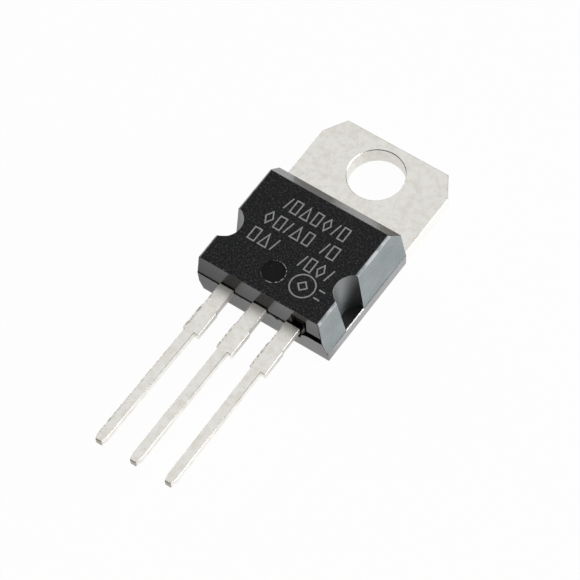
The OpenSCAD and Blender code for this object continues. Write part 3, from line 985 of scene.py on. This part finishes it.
class REGULATOR_OT_frame(bpy.types.Operator):
    """Dresses the plate with the screw tab and middle lead, and the two outer leads"""

    bl_idname = "regulator.frame"
    bl_label = "Tin-plated frame"

    def execute(self, context):
        finish = context.scene.regulator_tin
        tin = material_tin(finish)

        def radius_of(middle, direction, angle):
            """The bore's rims are sharper than the stamped outline."""
            bore = np.hypot(middle[:, 0], middle[:, 1]) < BORE_EDGE
            return np.where(bore, finish.edge_radius / 4, finish.edge_radius)

        def step_back(points):
            """The wide inner part of the middle lead ends behind the wall."""
            x, y, z = points.T
            end = (y < AT_WALL) & (y > LEAD_INNER_END)
            end &= (np.abs(x) > LEAD_HALF) & (z > LEAD_INNER_BASE)
            points[end, 1] = WALL_DEPTH / MM
            return points

        for node, name, slot, reshape in (
                ("heat_tab", "tab_and_middle_lead", "tinned_frame", step_back),
                ("input_lead", "left_lead", "tinned_lead", None),
                ("output_lead", "right_lead", "tinned_lead", None)):
            piece = finished_copy(node, name, radius_of, [tin], reshape=reshape)
        return {"FINISHED"}


class REGULATOR_OT_inside(bpy.types.Operator):
    """Dresses the sealed pieces: die, solder and bond wires"""

    bl_idname = "regulator.inside"
    bl_label = "Sealed pieces"

    def execute(self, context):
        finish = context.scene.regulator_inside
        silicon = material_plain("silicon", finish.silicon, 0.0, 0.2)
        solder = material_plain("solder", finish.solder, 1.0, 0.45)
        wire = material_plain("bond_wire", finish.wire, 1.0, 0.3)
        finishes = {"die": silicon, "die_attach": solder, "input_wire": wire,
                    "ground_wire": wire, "output_wire": wire}
        for node, material in finishes.items():
            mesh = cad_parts[node].data
            mesh.materials.clear()
            mesh.materials.append(material)
        return {"FINISHED"}


# rows of marks: the left end and the top of each, and its shapes with their widths
MARK_ROWS = (
    (-2.2, -5.95, (("bar", 0.2), ("box", 0.45), ("triangle", 0.55), ("box", 0.45),
                   ("diamond", 0.5), ("bar", 0.2), ("box", 0.45))),
    (-2.8, -7.45, (("diamond", 0.55), ("box", 0.5), ("bar", 0.2), ("triangle", 0.6),
                   ("box", 0.45))),
    (1.65, -7.45, (("bar", 0.2), ("box", 0.5))),
    (-2.85, -8.95, (("box", 0.5), ("triangle", 0.6), ("bar", 0.2))),
    (1.0, -8.95, (("bar", 0.2), ("box", 0.45), ("diamond", 0.5), ("bar", 0.2))),
)
# middle of the ring, width of the diamond in it, and the two dashes beside it
RING_MIDDLE = (2.16, -10.93)
RING_DIAMOND = 0.7
DASH_PLACES = ((3.2, -10.6), (3.2, -11.25))
DASH_LENGTH = 0.45
# the marks go down into the top by this much and stand over it by this much
MARK_DEPTH = 0.01
MARK_HEIGHT = 0.004


def mark_path(shape, x, y, width, height):
    """Path of one shape from its left end and its top, in millimetres, and whether it is
    closed."""
    low, right, centre = y - height, x + width, x + width / 2
    paths = {
        "bar": ([(x, low), (right, y)], False),
        "box": ([(x, y), (right, y), (right, low), (x, low)], True),
        "triangle": ([(x, low), (right, low), (centre, y)], True),
        "diamond": ([(x, y - height / 2), (centre, low), (right, y - height / 2), (centre, y)],
                    True),
    }
    return paths[shape]


def ring_path(middle, radius, count=48):
    """A circle: its middle plus the radius times the cosine and sine of the turn."""
    turn = np.linspace(0, 2 * np.pi, count, endpoint=False)
    return np.column_stack([middle[0] + radius * np.cos(turn), middle[1] + radius * np.sin(turn)])


class REGULATOR_OT_marks(bpy.types.Operator):
    """Lays rows of plain shapes and a ring on the top, as a generic marking"""

    bl_idname = "regulator.marks"
    bl_label = "Plain marks"

    def execute(self, context):
        sizes = context.scene.regulator_marks
        top, height = BODY_TOP / MM, sizes.height / MM
        paths = []
        for x, y, plan in MARK_ROWS:
            for shape, width in plan:
                paths.append(mark_path(shape, x, y, width, height))
                x += width + sizes.gap / MM
        paths.append((ring_path(RING_MIDDLE, sizes.ring_radius / MM), True))
        half = RING_DIAMOND / 2
        paths.append(mark_path("diamond", RING_MIDDLE[0] - half, RING_MIDDLE[1] + half,
                               RING_DIAMOND, RING_DIAMOND))
        for x, y in DASH_PLACES:
            paths.append(([(x, y), (x + DASH_LENGTH, y)], False))
        points, faces = joined([
            ribbon(path, sizes.stroke / MM, top - MARK_DEPTH, top + MARK_HEIGHT, closed)
            for path, closed in paths])
        piece = mesh_piece("plain_marks", points, faces, material_mark(sizes))
        return {"FINISHED"}


class REGULATOR_OT_studio(bpy.types.Operator):
    """Sets the floor, the room, the lamps and the camera"""

    bl_idname = "regulator.studio"
    bl_label = "Studio"

    def execute(self, context):
        settings = context.scene.regulator_studio
        build_camera(settings)
        build_floor(settings)
        build_room(settings)
        for name, direction, distance, size, radiance in LAMPS:
            build_lamp(name, direction, distance, size, radiance)
        scene = context.scene
        scene.view_settings.view_transform = "Standard"
        return {"FINISHED"}


# point that the camera looks at
CAMERA_TARGET = Vector((-0.1653 * MM, -9.5579 * MM, 0.0))
# point that the lamps face
LAMP_TARGET = Vector((0.0, -8.0 * MM, 2.0 * MM))
FLOOR_RADIUS = 1.5
# patch of floor in the body's shadow: middle and half sizes, and how far it fades out
SHADOW_MIDDLE = (-1.75 * MM, -13.65 * MM)
SHADOW_HALF = (6.25 * MM, 0.75 * MM)
SHADOW_FADE = 2.0 * MM
# grey of the floor's diffuse share, which carries the shadow
FLOOR_COLOUR = (0.8, 0.8, 0.8)
# a little under the object, so that the two don't share a plane
FLOOR_HEIGHT = -0.01 * MM
FLOOR_SIDES = 64
# bright parts of the room: behind the object and to its right, each with the share of
# facing it from which the light grows and at which it is full
BACK_OF_ROOM = (-0.15, 0.28, 0.95)
BACK_BAND = (0.70, 0.92)
RIGHT_OF_ROOM = (0.84, 0.385, 0.336)
RIGHT_BAND = (0.84, 0.96)
RIGHT_SHARE = 1.1
PLAIN_WHITE = (1.0, 1.0, 1.0, 1.0)
# each lamp: name, direction from the object, distance, width and height, radiance
LAMPS = (
    ("right_softbox", (0.88, 0.32, 0.36), 0.5, (0.50, 0.34), 3.6),
    ("left_softbox", (-0.9, 0.25, 0.35), 0.6, (0.40, 0.26), 2.0),
)


def build_camera(settings):
    """Camera at azimuth and elevation round the target, turned by roll about its axis."""
    azimuth, elevation, roll = settings.azimuth, settings.elevation, settings.roll
    back = Vector((math.sin(azimuth) * math.cos(elevation),
                   -math.cos(azimuth) * math.cos(elevation), math.sin(elevation)))
    across = Vector((0, 0, 1)).cross(back).normalized()
    up = back.cross(across)
    right = math.cos(roll) * across + math.sin(roll) * up
    top = -math.sin(roll) * across + math.cos(roll) * up
    data = bpy.data.cameras.new("photo_camera")
    data.sensor_fit = "HORIZONTAL"
    data.sensor_width = 36.0
    data.lens = settings.focal_length
    data.clip_start = 0.01
    data.clip_end = 10.0
    camera = bpy.data.objects.new("photo_camera", data)
    turn = Matrix((right, top, back)).transposed()
    camera.matrix_world = Matrix.Translation(
        CAMERA_TARGET + back * settings.distance) @ turn.to_4x4()
    bpy.context.scene.collection.objects.link(camera)
    bpy.context.scene.camera = camera


def build_floor(settings):
    """Round floor: white for the camera and in reflections, less a share of real
    diffuse light that carries the object's shadow."""
    turn = np.linspace(0, 2 * np.pi, FLOOR_SIDES, endpoint=False)
    points = np.column_stack([FLOOR_RADIUS * np.cos(turn), FLOOR_RADIUS * np.sin(turn),
                              np.full(FLOOR_SIDES, FLOOR_HEIGHT)])
    mesh = bpy.data.meshes.new("floor")
    mesh.from_pydata(points.tolist(), [], [list(range(FLOOR_SIDES))])
    floor = bpy.data.objects.new("floor", mesh)
    bpy.context.scene.collection.objects.link(floor)
    material = bpy.data.materials.new("floor_white")
    material.use_nodes = True
    wiring = Wiring(material.node_tree)
    output = wiring.node("ShaderNodeOutputMaterial")
    diffuse = wiring.node("ShaderNodeBsdfDiffuse")
    diffuse.inputs["Color"].default_value = rgba(FLOOR_COLOUR)
    white = wiring.node("ShaderNodeEmission")
    path = wiring.node("ShaderNodeLightPath")
    mirrored = wiring.maths("MAXIMUM", path.outputs["Is Glossy Ray"],
                            path.outputs["Is Transmission Ray"])
    direct = wiring.product(path.outputs["Is Camera Ray"], 1.0 - settings.floor_shadow)
    share = wiring.maths("MAXIMUM", mirrored, direct)
    # distance from the patch that the body's soft shadow covers, which is dimmer in mirrors
    x, y, z = wiring.axes(wiring.place())
    gaps = []
    for value, middle, half in zip((x, y), SHADOW_MIDDLE, SHADOW_HALF):
        away = wiring.maths("ABSOLUTE", wiring.maths("SUBTRACT", value, middle))
        gaps.append(wiring.maths("MAXIMUM", wiring.maths("SUBTRACT", away, half), 0.0))
    dimmed = wiring.ramp(wiring.reach(*gaps), 0.0, SHADOW_FADE,
                         1.0 - settings.mirrored_shadow, 1.0)
    strength = wiring.maths("MAXIMUM", dimmed, path.outputs["Is Camera Ray"])
    wiring.link(strength, white.inputs["Strength"])
    mixed = wiring.node("ShaderNodeMixShader")
    wiring.link(share, mixed.inputs[0])
    wiring.link(diffuse.outputs[0], mixed.inputs[1])
    wiring.link(white.outputs[0], mixed.inputs[2])
    wiring.link(mixed.outputs[0], output.inputs["Surface"])
    mesh.materials.append(material)


def build_room(settings):
    """Room light that grows from the camera's side towards the back of the room and its
    right, as a smooth step of how far a direction points there. The camera sees white."""
    world = bpy.data.worlds.new("room")
    bpy.context.scene.world = world
    world.use_nodes = True
    wiring = Wiring(world.node_tree)
    output = wiring.node("ShaderNodeOutputWorld")
    direction = wiring.node("ShaderNodeTexCoord").outputs["Generated"]

    def lit(toward, band, full):
        """Light that grows with the cosine between a direction and a bright part."""
        facing = wiring.node("ShaderNodeVectorMath", operation="DOT_PRODUCT")
        wiring.link(direction, facing.inputs[0])
        facing.inputs[1].default_value = Vector(toward).normalized()
        return wiring.ramp(facing.outputs["Value"], *band, settings.sky_front, full)

    strength = wiring.maths("MAXIMUM", lit(BACK_OF_ROOM, BACK_BAND, settings.sky_back),
                            lit(RIGHT_OF_ROOM, RIGHT_BAND, RIGHT_SHARE * settings.sky_back))
    room = wiring.node("ShaderNodeBackground")
    room.inputs["Color"].default_value = PLAIN_WHITE
    wiring.link(strength, room.inputs["Strength"])
    white = wiring.node("ShaderNodeBackground")
    white.inputs["Color"].default_value = PLAIN_WHITE
    white.inputs["Strength"].default_value = 1.0
    path = wiring.node("ShaderNodeLightPath")
    mixed = wiring.node("ShaderNodeMixShader")
    wiring.link(path.outputs["Is Camera Ray"], mixed.inputs[0])
    wiring.link(room.outputs[0], mixed.inputs[1])
    wiring.link(white.outputs[0], mixed.inputs[2])
    wiring.link(mixed.outputs[0], output.inputs["Surface"])


def build_lamp(name, direction, distance, size, radiance):
    """Rectangular softbox that faces the object. Its power is radiance times pi times
    its area, so the number written is the brightness that a mirror would show."""
    data = bpy.data.lights.new(name, "AREA")
    data.shape = "RECTANGLE"
    data.size, data.size_y = size
    data.energy = radiance * math.pi * size[0] * size[1]
    lamp = bpy.data.objects.new(name, data)
    toward = Vector(direction).normalized()
    lamp.location = LAMP_TARGET + toward * distance
    lamp.rotation_euler = toward.to_track_quat("Z", "Y").to_euler()
    lamp.visible_camera = False
    bpy.context.scene.collection.objects.link(lamp)


# Panel and registration


STEPS = (
    REGULATOR_OT_moulding,
    REGULATOR_OT_frame,
    REGULATOR_OT_inside,
    REGULATOR_OT_marks,
    REGULATOR_OT_studio,
)
GROUPS = (
    ("regulator_moulding", MouldingFinish),
    ("regulator_tin", TinFinish),
    ("regulator_inside", InsideFinish),
    ("regulator_marks", MarkSizes),
    ("regulator_studio", StudioSettings),
)


class REGULATOR_PT_panel(bpy.types.Panel):
    """Lists the regulator's sizes, colours and steps"""

    bl_idname = "REGULATOR_PT_panel"
    bl_label = "Voltage regulator"
    bl_space_type = "VIEW_3D"
    bl_region_type = "UI"
    bl_category = "Regulator"

    def draw(self, context):
        layout = self.layout
        for attribute, group in GROUPS:
            box = layout.box()
            box.label(text=group.__doc__)
            values = getattr(context.scene, attribute)
            for key in group.__annotations__:
                box.prop(values, key)
        for step in STEPS:
            layout.operator(step.bl_idname)


def register():
    for attribute, group in GROUPS:
        bpy.utils.register_class(group)
        setattr(bpy.types.Scene, attribute, PointerProperty(type=group))
    for step in STEPS:
        bpy.utils.register_class(step)
    bpy.utils.register_class(REGULATOR_PT_panel)


def unregister():
    bpy.utils.unregister_class(REGULATOR_PT_panel)
    for step in reversed(STEPS):
        bpy.utils.unregister_class(step)
    for attribute, group in reversed(GROUPS):
        delattr(bpy.types.Scene, attribute)
        bpy.utils.unregister_class(group)


def main():
    register()
    for step in STEPS:
        getattr(bpy.ops.regulator, step.bl_idname.split(".")[1])()


if __name__ == "__main__":
    main()
